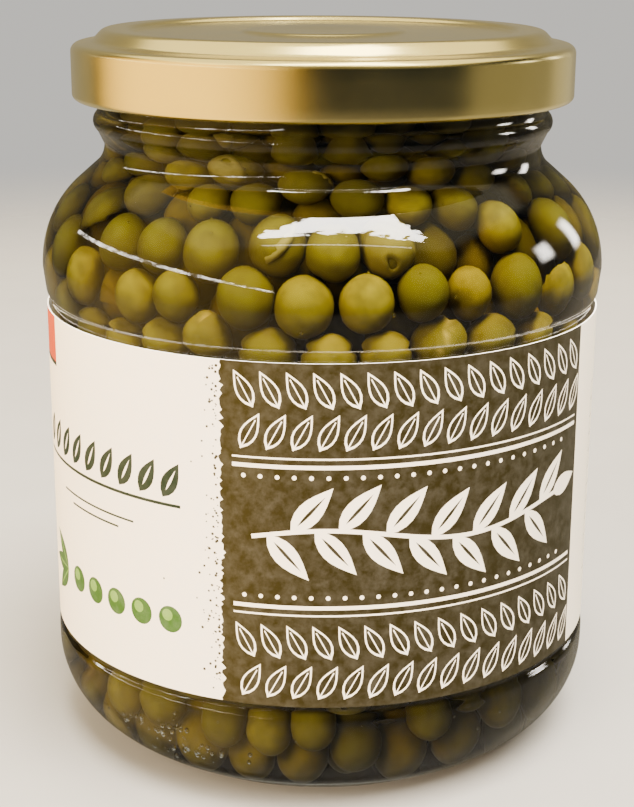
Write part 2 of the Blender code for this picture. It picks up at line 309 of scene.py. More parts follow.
def heading(azimuth_deg):
    """The level direction that far round from the front, +X side positive."""
    return (math.sin(math.radians(azimuth_deg)), -math.cos(math.radians(azimuth_deg)), 0.0)


def look_at(*axes):
    """For a flat place that faces the jar: how far every direction goes ahead, across and up."""
    ahead, side, above = [sky("VectorMath", {0: sight, 1: axis}, operation="DOT_PRODUCT") for axis in axes]
    return ahead, *[sky("Math", {0: part, 1: ahead}, operation="DIVIDE") for part in (side, above)]


def between(value, low, high, soft):
    """1 between two limits, falling to 0 over a soft edge outside them."""
    away = sky("Math", {0: value, 1: 0.5 * (low + high)}, operation="SUBTRACT")
    size = sky("Math", {0: away}, operation="ABSOLUTE")
    half = 0.5 * (high - low)
    limits = {"Value": size, "From Min": half + soft, "From Max": half}
    return sky("MapRange", limits, interpolation_type="SMOOTHSTEP")


def patch(wall, side, above, soft, strength):
    """The light of a rectangle on a wall: its sides, its height, its soft edge and its strength."""
    level = sky("Math", {0: wall[0], 1: 0.02}, operation="GREATER_THAN")
    for factor in (between(wall[1], *side, soft), between(wall[2], *above, soft), strength):
        level = sky("Math", {0: level, 1: factor}, operation="MULTIPLY")
    return level


def total(parts):
    """The sum of several lights."""
    level = parts[0]
    for part in parts[1:]:
        level = sky("Math", {0: level, 1: part}, operation="ADD")
    return level


ceiling = look_at((0.0, 0.0, 1.0), (1.0, 0.0, 0.0), (0.0, -1.0, 0.0))
left_wall, lamp_wall, right_wall, back_wall = [
    look_at(heading(azimuth), heading(azimuth + 90.0), (0.0, 0.0, 1.0))
    for azimuth in (-75.0, -62.0, 104.0, 180.0)
]
print("walls drawn with", len(world.node_tree.nodes), "nodes")

# %% [markdown]
# The window is the large highlight on the shoulder. Its near edge is an arch and
# its two sides fan out from a point, which gives the highlight its bent top and
# its two legs. The other lights are plain patches.

# %% Room and mirrored lights
WINDOW_MIDDLE = 0.15
WINDOW_ARCH = 0.9
WINDOW_POINT = -0.23
WINDOW_END = 0.41

off_middle = sky("Math", {0: ceiling[1], 1: WINDOW_MIDDLE}, operation="SUBTRACT")
square = sky("Math", {0: off_middle, 1: off_middle}, operation="MULTIPLY")
arched = sky("Math", {0: square, 1: -WINDOW_ARCH, 2: ceiling[2]}, operation="MULTIPLY_ADD")
frayed = sky("Math", {0: arched, 1: wobble}, operation="ADD")
from_point = sky("Math", {0: ceiling[2], 1: WINDOW_POINT}, operation="SUBTRACT")
from_point = sky("Math", {0: from_point, 1: 0.05}, operation="MAXIMUM")
fan = sky("Math", {0: off_middle, 1: from_point}, operation="DIVIDE")
fan = sky("Math", {0: fan, 1: wobble}, operation="ADD")
window = patch((ceiling[0], fan, frayed), (-0.80, 0.80), (-0.5, 0.28), 0.04, 70.0)
window = sky("Math", {0: window, 1: between(ceiling[2], -1.0, WINDOW_END, 0.03)}, operation="MULTIPLY")
glints = sky("MapRange", {"Value": uneven, "From Min": 0.4, "From Max": 0.6, "To Min": 0.04, "To Max": 1.4})
ledge = patch(left_wall, (-1.2, 1.5), (0.360, 0.386), 0.020, 24.0)
mirrored = total([
    window,
    patch(ceiling, (-0.40, 0.65), (0.590, 0.612), 0.012, 9.0),
    sky("Math", {0: ledge, 1: glints}, operation="MULTIPLY"),
    patch(right_wall, (-0.02, 0.02), (0.24, 0.30), 0.10, 34.0),
    patch(right_wall, (0.43, 0.46), (0.16, 0.32), 0.10, 22.0),
])
left_light = patch(lamp_wall, (-0.40, 0.05), (-1.2, 0.40), 1.45, 3.9)
room = total([
    patch(ceiling, (-0.9, 0.9), (-0.8, 0.50), 0.25, 2.6),
    patch(ceiling, (-1.5, 1.5), (0.6, 1.6), 0.6, 0.30),
    patch(right_wall, (-0.6, 0.9), (-1.2, 0.25), 0.30, 0.35),
    patch(back_wall, (-1.2, 1.2), (-1.2, 1.0), 0.60, 0.40),
])
print("room and mirrored lights:", len(world.node_tree.nodes), "nodes")

# %% [markdown]
# The lid's satin metal spreads what it mirrors, so lights that only just glint in
# glass would flood it with white, and a wall that gives the lid its warm sheen
# would fog the glass. Is Singular Ray tells a sharp image from a spread one: glass
# sees all of the lights and little of the room, and the lid the other way round.
# The camera itself sees a plain pale backdrop.

# %% Who sees what
BACKDROP = "#D9D6D0"
DARK_ROOM = "#2F353F"
WARM_WHITE = "#FFF8EC"
CREAM_WALL = "#FFF0C4"
LAMPLIGHT = "#FFD26E"
LIGHTS_IN_SATIN = 0.22
ROOM_IN_GLASS = 0.30

in_glass = ray.outputs["Is Singular Ray"]
room_share = sky("MapRange", {"Value": in_glass, "To Min": 1.0, "To Max": ROOM_IN_GLASS})
lights_share = sky("MapRange", {"Value": in_glass, "To Min": LIGHTS_IN_SATIN, "To Max": 1.0})
mirror_share = sky("Math", {0: ray.outputs["Is Glossy Ray"], 1: lights_share}, operation="MULTIPLY")
around = sky("Background", {"Color": DARK_ROOM, "Strength": room_share})
for colour, light, share in (
    (CREAM_WALL, room, room_share),
    (LAMPLIGHT, left_light, room_share),
    (WARM_WHITE, mirrored, mirror_share),
):
    seen = sky("Math", {0: light, 1: share}, operation="MULTIPLY")
    around = sky("AddShader", {0: around, 1: sky("Background", {"Color": colour, "Strength": seen})})
after_matt = sky("Math", {0: ray.outputs["Diffuse Depth"], 1: 0.5}, operation="LESS_THAN")
backdrop = sky("Background", {"Color": BACKDROP, "Strength": after_matt})
seen_by = {0: ray.outputs["Is Camera Ray"], 1: ray.outputs["Is Transmission Ray"]}
straight = sky("Math", seen_by, operation="MAXIMUM")
surface = sky("MixShader", {0: straight, 1: around, 2: backdrop})
sky("OutputWorld", {"Surface": surface})
print("world:", len(world.node_tree.nodes), "nodes")

# %% [markdown]
# ## Lamps
# These light the matt things: peas, paper and table. The main one is a large soft
# box above the jar, which leaves the neck in the lid's shadow and the gaps between
# the peas dark. A weaker one in front on the left lights the label, and one behind
# keeps the back readable. Glass and gold don't show them, as the room does that.

# %% Lamps
def add_lamp(name, place, aim, width, height, watts, colour):
    """A rectangular soft box that looks at a point and shows in no mirror image."""
    lamp = bpy.data.objects.new(name, bpy.data.lights.new(name, "AREA"))
    lamp.data.shape = "RECTANGLE"
    lamp.data.size = width
    lamp.data.size_y = height
    lamp.data.energy = watts
    lamp.data.color = linear(colour)[:3]
    lamp.location = place
    lamp.rotation_mode = "QUATERNION"
    lamp.rotation_quaternion = (Vector(aim) - Vector(place)).to_track_quat("-Z", "Y")
    lamp.visible_transmission = False
    lamp.visible_glossy = False
    bpy.context.collection.objects.link(lamp)


MIDDLE = Vector((0.0, 0.0, 0.5 * LID_TOP))
add_lamp("overhead_box", (0.09, -0.18, 0.70), MIDDLE, 0.32, 0.26, 41.0, "#FFF8EE")
add_lamp("front_fill", (-0.50, -0.62, 0.50), MIDDLE, 0.50, 0.50, 23.0, "#FFEDD6")
add_lamp("back_fill", (0.35, 0.75, 0.50), MIDDLE, 0.50, 0.50, 10.0, "#FFF8F0")

# %% [markdown]
# ## The glass jar
# Soda-lime glass, pressed and blown in an iron mould, then fire-polished: clear,
# with a slightly wavy skin and softly rounded steps. It is one closed shell, so
# light enters it and leaves it as in the real wall. Below the liquid's surface
# the inside touches brine and not air. Where two clear things touch, only the
# ratio of their refractive indices counts, so the wetted wall gets that ratio,
# and the peas seem to fill the jar right out to its edge, as they do in life.

# %% Jar outline
WALL = 2.4 * MM
BODY_RADIUS = 40.0 * MM
BAND_RADIUS = 40.1 * MM
PANEL_RADIUS = 39.4 * MM
PANEL_BOTTOM = 16.1 * MM
PANEL_TOP = 65.2 * MM
PANEL_STEP = 0.9 * MM
SHOULDER_HEIGHT = 69.7 * MM
SHOULDER_ARC = 14.0 * MM
SHOULDER_STRETCH = 1.07
NECK_RADIUS = 31.1 * MM
NECK_HEIGHT = 86.7 * MM
NECK_ARC = 4.0 * MM
REST_INNER, REST_OUTER = 28.4 * MM, 30.6 * MM
HEEL_HEIGHT = 13.2 * MM
HEEL_RADIUS = 13.0 * MM
INNER_HEEL_RADIUS = 10.0 * MM
PUNT_RADIUS = 20.0 * MM
PUNT_HEIGHT = 2.4 * MM
PUNT_DOME = 0.7 * MM
FLOOR_HEIGHT = 5.2 * MM
BEAD_RADIUS = 32.6 * MM
BEAD_HEIGHT = 89.9 * MM
BEAD_ARC = 1.6 * MM
FINISH_RADIUS = 31.8 * MM
MOUTH_RADIUS = 28.9 * MM
RIM_ARC = 1.1 * MM
JAR_SIDES = 180


def outer_jar_line():
    """The outside, from the middle of the base up to the rim, steps and bead rounded."""
    shoulder_middle = (SHOULDER_RADIUS - SHOULDER_ARC, SHOULDER_HEIGHT)
    shoulder = arc(shoulder_middle, SHOULDER_ARC, 0.0, 52.0, 28, SHOULDER_STRETCH)
    neck = arc((NECK_RADIUS + NECK_ARC, NECK_HEIGHT), NECK_ARC, 222.0, 180.0, 12)
    bead = arc((BEAD_RADIUS - BEAD_ARC, BEAD_HEIGHT), BEAD_ARC, -50.0, 50.0, 14)
    base = [
        (0.0, PUNT_HEIGHT),
        (PUNT_RADIUS, PUNT_HEIGHT - PUNT_DOME, 4.0 * MM),
        (REST_INNER - 1.5 * MM, 0.3 * PUNT_HEIGHT, 1.0 * MM),
        (REST_INNER, 0.0, 0.5 * MM),
        (REST_OUTER, 0.0, 0.6 * MM),
    ]
    heel = arc((BAND_RADIUS - HEEL_RADIUS, HEEL_HEIGHT), HEEL_RADIUS, -66.0, 0.0, 26)
    panel = [
        (BAND_RADIUS, PANEL_BOTTOM - PANEL_STEP, 0.5 * MM),
        (PANEL_RADIUS, PANEL_BOTTOM, 0.4 * MM),
        (PANEL_RADIUS, PANEL_TOP, 0.4 * MM),
        (BODY_RADIUS, PANEL_TOP + PANEL_STEP, 0.6 * MM),
    ]
    finish = [
        (FINISH_RADIUS, BEAD_HEIGHT + 2.4 * MM, 0.5 * MM),
        (FINISH_RADIUS, RIM_HEIGHT - RIM_ARC),
    ]
    rim = arc((FINISH_RADIUS - RIM_ARC, RIM_HEIGHT - RIM_ARC), RIM_ARC, 0.0, 90.0, 8)
    return rounded([*base, *heel, *panel, *shoulder, *neck, *bead, *finish, *rim[1:]])


def inner_jar_line():
    """The inside, from the middle of the floor up to the neck."""
    inner = PANEL_RADIUS - WALL
    heel = arc((inner - INNER_HEEL_RADIUS, HEEL_HEIGHT), INNER_HEEL_RADIUS, -70.0, 0.0, 16)
    shoulder_middle = (SHOULDER_RADIUS - SHOULDER_ARC - 0.4 * MM, SHOULDER_HEIGHT)
    shoulder = arc(shoulder_middle, SHOULDER_ARC - WALL, 0.0, 60.0, 22, SHOULDER_STRETCH)
    return rounded([
        (0.0, FLOOR_HEIGHT),
        (PUNT_RADIUS, FLOOR_HEIGHT - PUNT_DOME, 4.0 * MM),
        *heel,
        *shoulder,
        (MOUTH_RADIUS, NECK_HEIGHT, 2.0 * MM),
        (MOUTH_RADIUS, RIM_HEIGHT - RIM_ARC),
    ])


print("outside line:", len(outer_jar_line()), "points")

# %% [markdown]
# The finish has four short thread ramps that the lid's lugs slide under. They are
# raised from the wall by a formula while the outline is turned, so the glass stays
# one clean skin without any joins inside it.

# %% Jar shape
THREAD_STARTS = 4
THREAD_LENGTH_DEG = 60.0
THREAD_LEAD_DEG = 8.0
THREAD_RISE = 1.4 * MM
THREAD_HALF = 0.95 * MM
THREAD_LOW = 96.0 * MM
THREAD_SLOPE = 0.02 * MM
THREAD_END_DEG = 6.0
THREAD_ZONE = (94.4 * MM, 98.6 * MM)
THREAD_ROW = 0.15 * MM
LUG_AT_DEG = 18.75


def raise_threads(radius, height, angle):
    """Lifts the finish's wall where a ramp runs."""
    pitch = 360.0 / THREAD_STARTS
    along = (math.degrees(angle) - LUG_AT_DEG + THREAD_LEAD_DEG) % pitch
    away = abs(height - THREAD_LOW - THREAD_SLOPE * along) / THREAD_HALF
    if radius < FINISH_RADIUS - 0.1 * MM or along > THREAD_LENGTH_DEG or away > 1.0:
        return radius
    ends = min(1.0, along / THREAD_END_DEG, (THREAD_LENGTH_DEG - along) / THREAD_END_DEG)
    swell = math.sin(0.5 * math.pi * ends) * min(1.0, 1.6 * math.cos(0.5 * math.pi * away))
    return radius + THREAD_RISE * swell


mouth = arc((MOUTH_RADIUS + RIM_ARC, RIM_HEIGHT - RIM_ARC), RIM_ARC, 90.0, 180.0, 8)
low, high = THREAD_ZONE
outline = [
    p for p in refine(outer_jar_line(), 1.6 * MM) if p[0] < FINISH_RADIUS - 1e-6 or not low <= p[1] <= high
]
split = max(n for n, p in enumerate(outline) if p[1] < low) + 1
outline[split:split] = [(FINISH_RADIUS, z) for z in np.arange(low, high, THREAD_ROW)]
inside = refine(inner_jar_line(), 2.0 * MM)[::-1]
jar_line = outline + mouth[1:-1] + inside
inside_from = len(jar_line) - len(inside)
jar = turn("jar_glass", jar_line, JAR_SIDES, raise_threads)
print("jar glass:", len(jar.data.polygons), "faces")

# %% [markdown]
# The material is bare refraction with a whisper of green, the iron in ordinary
# glass. The slow waves that a mould leaves are about 8 mm long and a few
# hundredths deep: too faint to see as shape, but enough to fray a highlight.

# %% Glass material
GLASS_IOR = 1.52
BRINE_IOR = 1.34
MOULD_WAVE = 8.0 * MM


def make_glass(name, ior, colour):
    """Clear glass; ior is against what touches it."""
    material, add = new_material(name)
    place = add("TexCoord").outputs["Object"]
    waves = add("TexNoise", {"Vector": place, "Scale": 1.0 / MOULD_WAVE, "Detail": 1.0})
    skin = add("Bump", {"Height": waves, "Strength": 0.25, "Distance": 0.05 * MM})
    glass = add("BsdfPrincipled", {
        "Base Color": colour, "Roughness": 0.0, "IOR": ior, "Transmission Weight": 1.0, "Normal": skin,
    })
    add("OutputMaterial", {"Surface": glass})
    return material


jar.data.materials.append(make_glass("soda_lime_glass", GLASS_IOR, "#F7FBF8"))
jar.data.materials.append(make_glass("glass_wetted_by_brine", GLASS_IOR / BRINE_IOR, "#F7FBF8"))
for face in jar.data.polygons:
    face.material_index = int(face.index // JAR_SIDES >= inside_from and face.center.z < BRINE_TOP)
jar.visible_shadow = False
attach(jar, "jar")
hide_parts("glass_jar")
print("wetted faces:", sum(face.material_index for face in jar.data.polygons))

# %% [markdown]
# ## The brine
# Cooking water, salt and a little starch: a thin olive liquid. It is one closed
# body that fills the jar up to just under the mouth. Its skin does nothing, as the
# jar's wetted wall has bent the light already. What counts is the murk inside: it
# swallows light on the way, blue most of all, both from the lamps to the peas and
# from the peas to the eye. That turns the gaps brown and dark and the peas olive.

# %% Brine
BRINE_GAP = 0.05 * MM
MURK_DENSITY = 170.0

line = [p for p in inner_jar_line() if p[1] < BRINE_TOP]
walls = offset(line, BRINE_GAP)
walls[0] = (0.0, walls[0][1])
surface = BRINE_TOP - 0.1 * MM
brine = turn("brine_body", [*walls, (walls[-1][0], surface), (0.0, surface)], 120)
material, add = new_material("pea_brine")
murk = add("VolumeAbsorption", {"Color": "#E6D67E", "Density": MURK_DENSITY})
add("OutputMaterial", {"Surface": add("BsdfTransparent"), "Volume": murk})
brine.data.materials.append(material)
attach(brine, "jar")
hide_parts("brine")
print("brine:", len(brine.data.polygons), "faces")

# %% [markdown]
# ## Packing the peas
# About fourteen hundred peas fill a jar this size. Placed by hand or on a grid
# they would look arranged. Here they start at random places and push each other
# and the wall away until they fit, as peas do when a jar is filled and shaken.

# %% Wall distance
PEA_SMALLEST, PEA_LARGEST = 2.95 * MM, 3.75 * MM
PEA_FILL = 0.625  # share of the jar's inside that the peas take
PEA_SEED = 11
PACK_ROUNDS = 420
NEW_PAIRS_EVERY = 6  # rounds
PUSH_SHARE = 0.45  # of an overlap, taken away in one round
PEA_TO_WALL = 0.15 * MM
PEAS_TOP = BRINE_TOP - 0.3 * MM

room_line = offset(refine(inner_jar_line(), 3.0 * MM), PEA_TO_WALL)
room_line = [p for p in room_line if p[1] < PEAS_TOP]
room_line[0] = (0.0, room_line[0][1])
room_line += [(room_line[-1][0], PEAS_TOP), (0.0, PEAS_TOP)]
WALL_START = np.array(room_line[:-1])
WALL_ALONG = np.array(room_line[1:]) - WALL_START
WALL_LENGTH2 = (WALL_ALONG ** 2).sum(1)
WALL_IN = np.stack([-WALL_ALONG[:, 1], WALL_ALONG[:, 0]], 1)


def to_wall(places):
    """How far inside the wall each place is, and the way in from the nearest wall."""
    radius = np.hypot(places[:, 0], places[:, 1])
    flat = np.stack([radius, places[:, 2]], 1)
    from_start = flat[:, None] - WALL_START[None]
    share = np.clip((from_start * WALL_ALONG).sum(2) / WALL_LENGTH2, 0.0, 1.0)
    gap = from_start - share[:, :, None] * WALL_ALONG
    distance2 = (gap ** 2).sum(2)
    nearest = distance2.argmin(1)
    rows = np.arange(len(places))
    gap = gap[rows, nearest]
    sign = np.sign((gap * WALL_IN[nearest]).sum(1))
    depth = sign * np.sqrt(distance2[rows, nearest])
    way = gap / np.where(np.abs(depth) < 1e-9, 1e-9, depth)[:, None]
    round_way = places[:, :2] / np.maximum(radius, 1e-9)[:, None] * way[:, :1]
    return depth, np.concatenate([round_way, way[:, 1:]], 1)


def touching_pairs(places, reach):
    """Numbers of the pairs of places nearer to each other than the reach."""
    size2 = (places ** 2).sum(1)
    distance2 = size2[:, None] + size2[None] - 2.0 * places @ places.T
    return np.nonzero(np.triu(distance2 < reach ** 2, 1))


# %% Packing
def pack_peas():
    """Places and sizes of peas that fill the jar."""
    draw = np.random.default_rng(PEA_SEED)
    radii, heights = np.array(room_line).T
    volume = abs(sum(
        math.pi * (r0 * r0 + r0 * r1 + r1 * r1) / 3.0 * (z1 - z0)
        for r0, z0, r1, z1 in zip(radii, heights, radii[1:], heights[1:])
    ))
    mean = 0.5 * (PEA_SMALLEST + PEA_LARGEST)
    count = int(PEA_FILL * volume / (4.0 / 3.0 * math.pi * mean ** 3))
    sizes = draw.uniform(PEA_SMALLEST, PEA_LARGEST, count)
    spread = draw.uniform(-1.0, 1.0, (count * 4, 3)) * [radii.max(), radii.max(), 0.5 * heights.max()]
    spread += [0.0, 0.0, 0.5 * heights.max()]
    places = spread[to_wall(spread)[0] > mean][:count]
    for number in range(PACK_ROUNDS):
        if number % NEW_PAIRS_EVERY == 0:
            first, second = touching_pairs(places, 2.3 * PEA_LARGEST)
        apart = places[first] - places[second]
        length = np.maximum(np.linalg.norm(apart, axis=1), 1e-9)
        push = PUSH_SHARE * np.clip(sizes[first] + sizes[second] - length, 0.0, None) / length
        move = apart * push[:, None]
        for axis in range(3):
            places[:, axis] += np.bincount(first, move[:, axis], count)
            places[:, axis] -= np.bincount(second, move[:, axis], count)
        depth, way = to_wall(places)
        places += way * np.clip(sizes - depth, 0.0, None)[:, None]
    return places, sizes


places, sizes = pack_peas()
depths, ways_in = to_wall(places)
print(len(places), "peas packed;", int((depths < 1.3 * sizes).sum()), "touch the wall")

# %% [markdown]
# ## The shape of one pea
# A cooked pea is soft. It is a ball that is a little lopsided, pressed flat where
# it meets a neighbour or the glass, with a shallow dimple, and now and then a
# wrinkled or split skin. Each is a ball of even quads whose points are moved in or
# out along their own direction: contact planes cut it softly, cosines swell it.

# %% A ball of quads
def make_ball(cuts):
    """Unit directions and quads of a cube blown up to a ball, each side cut that often."""
    bm = bmesh.new()
    bmesh.ops.create_cube(bm, size=2.0)
    bmesh.ops.subdivide_edges(bm, edges=bm.edges, cuts=cuts - 1, use_grid_fill=True)
    corners = np.tan(np.array([v.co for v in bm.verts]) * math.pi / 4.0)
    quads = np.array([[v.index for v in f.verts] for f in bm.faces])
    bm.free()
    return corners / np.linalg.norm(corners, axis=1)[:, None], quads


PLAIN, FAIR, FINE = 3, 5, 7
BALLS = {cuts: make_ball(cuts) for cuts in (PLAIN, FAIR, FINE)}
print({cuts: len(quads) for cuts, (_, quads) in BALLS.items()}, "quads")

# %% Shaping
WRINKLED_SHARE = 0.13
SPLIT_SHARE = 0.12
HALVED_SHARE = 0.07
LOPSIDED = (0.005, 0.02)  # this and the next three are shares of the pea's size
DIMPLE_DEPTH = 0.10
WRINKLE_DEPTH = 0.016
SPLIT_DEPTH = 0.14
PRESS_SOFTNESS = 0.16 * MM
ANY_PHASE = (0.0, 6.3)


def random_way(draw):
    """A unit vector in any direction."""
    way = draw.normal(size=3)
    return way / np.linalg.norm(way)


def soft_least(first, second, softness):
    """The smaller of two lengths, with the change from one to the other rounded off."""
    gap = np.clip(np.abs(first - second) / softness, 0.0, 40.0)
    return np.minimum(first, second) - softness * np.log1p(np.exp(-gap))


def shape_pea(directions, size, planes, draw):
    """How far the pea's skin is from its middle in each direction, and how split it is there."""
    reach = np.full(len(directions), size)
    for _ in range(3):
        axis = random_way(draw)
        swell = size * draw.uniform(*LOPSIDED)
        reach += swell * np.cos(2.0 * np.pi * directions @ axis * 0.6 + draw.uniform(*ANY_PHASE))
    dimple = random_way(draw)
    reach -= size * draw.uniform(0.0, DIMPLE_DEPTH) * np.exp(-(1.0 - directions @ dimple) / 0.06)
    kind = draw.random()
    crack = np.zeros(len(directions))
    fold = random_way(draw)
    side = np.cross(fold, dimple)
    if kind < WRINKLED_SHARE:
        bend = directions @ fold + 0.25 * np.sin(5.0 * directions @ dimple)
        reach -= size * WRINKLE_DEPTH * np.sin(9.0 * bend) ** 2 * np.clip(directions @ side + 0.6, 0.0, 1.0)
    elif kind < WRINKLED_SHARE + SPLIT_SHARE:
        crack = np.exp(-(directions @ fold / 0.07) ** 2) * np.clip(2.5 * (directions @ side), 0.0, 1.0)
        reach -= size * SPLIT_DEPTH * crack
    elif kind < WRINKLED_SHARE + SPLIT_SHARE + HALVED_SHARE:
        planes = [*planes, (fold, 0.08 * size)]
        crack = np.clip(3.0 * (directions @ fold) - 0.3, 0.0, 1.0)
    for normal, distance in planes:
        facing = directions @ normal
        limit = np.where(facing > 0.05, distance / np.maximum(facing, 0.05), 1.0)
        reach = soft_least(reach, limit, PRESS_SOFTNESS)
    return reach, crack


# %% [markdown]
# Only what can be seen is worth fine faces. Peas on the glass of the shoulder,
# the foot and the strip that the label leaves bare are fine, those behind them are
# plainer, and the heart of the jar, which no ray reaches, is left out.

# %% Building the peas
SHOULDER_FROM = 58.0 * MM
FOOT_TO = 23.0 * MM
BARE_STRIP = 0.25  # radians either side of +Y
FIRST_ROW, SECOND_ROW, LAST_ROW = 1.5, 3.6, 5.8  # depths in sizes of the pea


def ball_for(place, size, depth):
    """How finely a pea is cut, or None where it can't be seen."""
    in_strip = abs(math.atan2(place[0], place[1])) < BARE_STRIP
    in_view = place[2] > SHOULDER_FROM or place[2] < FOOT_TO or in_strip
    if depth < FIRST_ROW * size:
        return FINE if in_view else PLAIN
    if depth < SECOND_ROW * size:
        return FAIR if in_view else PLAIN
    return PLAIN if in_view and depth < LAST_ROW * size else None


first, second = touching_pairs(places, 2.0 * PEA_LARGEST + 0.3 * MM)
neighbours = {number: [] for number in range(len(places))}
for a, b in zip(first, second):
    neighbours[a].append(b)
    neighbours[b].append(a)


def contact_planes(number):
    """The planes that press on a pea, as a way out and a distance from its middle."""
    touches_wall = depths[number] < FIRST_ROW * sizes[number]
    planes = [(-ways_in[number], depths[number])] if touches_wall else []
    for other in neighbours[number]:
        gap = places[other] - places[number]
        length = np.linalg.norm(gap)
        middle = (length ** 2 + sizes[number] ** 2 - sizes[other] ** 2) / (2.0 * length)
        planes.append((gap / length, middle - 0.02 * MM))
    return planes


def join_parts(name, parts, layers):
    """One piece of many parts, each a (points, faces), with number layers kept on the points."""
    starts = np.cumsum([0] + [len(points) for points, _ in parts[:-1]])
    mesh = bpy.data.meshes.new(name)
    corners = np.concatenate([points for points, _ in parts])
    faces = np.concatenate([quads + start for (_, quads), start in zip(parts, starts)])
    mesh.from_pydata(corners, [], faces)
    for key, values in layers.items():
        layer = mesh.attributes.new(key, "FLOAT", "POINT")
        layer.data.foreach_set("value", np.concatenate(values))
    return add_piece(name, mesh)


def build_peas(name, chosen, draw):
    """One piece of many peas, with each pea's tone and its splits kept on its points."""
    parts, tones, cracks = [], [], []
    for number in chosen:
        cuts = ball_for(places[number], sizes[number], depths[number])
        if cuts is None:
            continue
        directions, quads = BALLS[cuts]
        reach, crack = shape_pea(directions, sizes[number], contact_planes(number), draw)
        parts.append((places[number] + directions * reach[:, None], quads))
        tones.append(np.full(len(directions), draw.random()))
        cracks.append(crack)
    return join_parts(name, parts, {"pea_tone": tones, "pea_split": cracks})


# %% [markdown]
# ## Pea skin
# Boiled pea skin is matt and a little see-through over a yellow-green inside. In
# brine it hardly shines, because liquid and skin bend light alike. The colour
# runs from olive to warm yellow from pea to pea, with cloudy patches 2 to 3 mm
# wide, and a split shows the paler, mealy inside.

# %% Pea material
CLOUD = 2.5 * MM
PORE = 0.6 * MM

pea_skin, add = new_material("boiled_pea_skin")
place = add("TexCoord").outputs["Object"]
tone = add("Attribute", attribute_name="pea_tone").outputs["Fac"]
split_amount = add("Attribute", attribute_name="pea_split").outputs["Fac"]
clouds = add("TexNoise", {"Vector": place, "Scale": 1.0 / CLOUD, "Detail": 4.0})
pores = add("TexNoise", {"Vector": place, "Scale": 1.0 / PORE, "Detail": 1.0})
olive = add("Mix", {"Factor": tone, "A": "#3E3A07", "B": "#5F560F"}, data_type="RGBA")
cloud_share = add("MapRange", {"Value": clouds, "From Min": 0.42, "From Max": 0.66, "To Max": 0.6})
cloudy = add("Mix", {"Factor": cloud_share, "A": olive, "B": "#352E0A"}, data_type="RGBA")
inside = add("Mix", {"Factor": split_amount, "A": cloudy, "B": "#7C6F2C"}, data_type="RGBA")
grain = add("Bump", {"Height": pores, "Strength": 0.10, "Distance": 0.03 * MM})
skin = add("BsdfPrincipled", {
    "Base Color": inside, "Roughness": 0.55, "Specular IOR Level": 0.2, "Normal": grain,
})
add("OutputMaterial", {"Surface": skin})

draw = np.random.default_rng(PEA_SEED + 1)
heights = places[:, 2]
groups = {
    "peas_shoulder": np.nonzero(heights > SHOULDER_FROM)[0],
    "peas_middle": np.nonzero((heights <= SHOULDER_FROM) & (heights >= FOOT_TO))[0],
    "peas_foot": np.nonzero(heights < FOOT_TO)[0],
}
for name, chosen in groups.items():
    peas = build_peas(name, chosen, draw)
    peas.data.materials.append(pea_skin)
    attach(peas, "jar")
    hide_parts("peas")
    print(name, len(peas.data.polygons), "quads")

# %% [markdown]
# ## Loose skins and bubbles
# Some peas slip out of their skins in the cooker, and the skins stay between the
# others as pale, thin flaps. Each is a cap of a ball a little larger than its pea,
# with a ragged rim. The last air clings to the glass as bubbles of well under a
# millimetre, many of them in one place near the foot, where two peas leave a hollow.

# %% Loose skins
SKIN_COUNT = 30
SKIN_SHEET = 0.09 * MM
SKIN_RINGS, SKIN_SIDES = 7, 22
FOLD = 1.2 * MM


def make_cap(opening_deg, draw):
    """Directions and quads of a ragged cap round +Z."""
    waves = draw.uniform(*ANY_PHASE, 2)
    directions = []
    for ring in range(1, SKIN_RINGS + 1):
        for side in range(SKIN_SIDES):
            turn_to = 2.0 * math.pi * side / SKIN_SIDES
            rag = 1.0 + 0.20 * math.sin(2.0 * turn_to + waves[0]) + 0.07 * math.sin(3.0 * turn_to + waves[1])
            tilt = math.radians(opening_deg) * rag * ring / SKIN_RINGS
            out = math.sin(tilt)
            directions.append((out * math.cos(turn_to), out * math.sin(turn_to), math.cos(tilt)))
    quads = []
    for ring in range(SKIN_RINGS - 1):
        for side in range(SKIN_SIDES):
            after = (side + 1) % SKIN_SIDES
            low, high = ring * SKIN_SIDES, (ring + 1) * SKIN_SIDES
            quads.append((low + side, high + side, high + after, low + after))
    return np.array(directions), np.array(quads)


draw = np.random.default_rng(PEA_SEED + 2)
at_wall = np.nonzero((depths < 1.3 * sizes) & ((heights > SHOULDER_FROM) | (heights < FOOT_TO)))[0]
parts, tones = [], []
for number in draw.choice(at_wall, SKIN_COUNT, replace=False):
    directions, quads = make_cap(draw.uniform(48.0, 78.0), draw)
    facing = Vector(-ways_in[number] + draw.normal(0.0, 0.55, 3)).normalized()
    turned = directions @ np.array(facing.to_track_quat("Z", "Y").to_matrix()).T
    reach, _ = shape_pea(turned, 1.03 * sizes[number], contact_planes(number), draw)
    curl = 1.0 - 0.015 * np.clip(1.0 - turned @ np.array(facing), 0.0, 1.0)
    parts.append((places[number] + turned * (reach * curl + 1.6 * SKIN_SHEET)[:, None], quads))
    tones.append(np.full(len(turned), draw.random()))
skins = join_parts("pea_skins", parts, {"pea_tone": tones})
sheet = skins.modifiers.new("sheet", "SOLIDIFY")
sheet.thickness = 0.6 * SKIN_SHEET
sheet.offset = -1.0

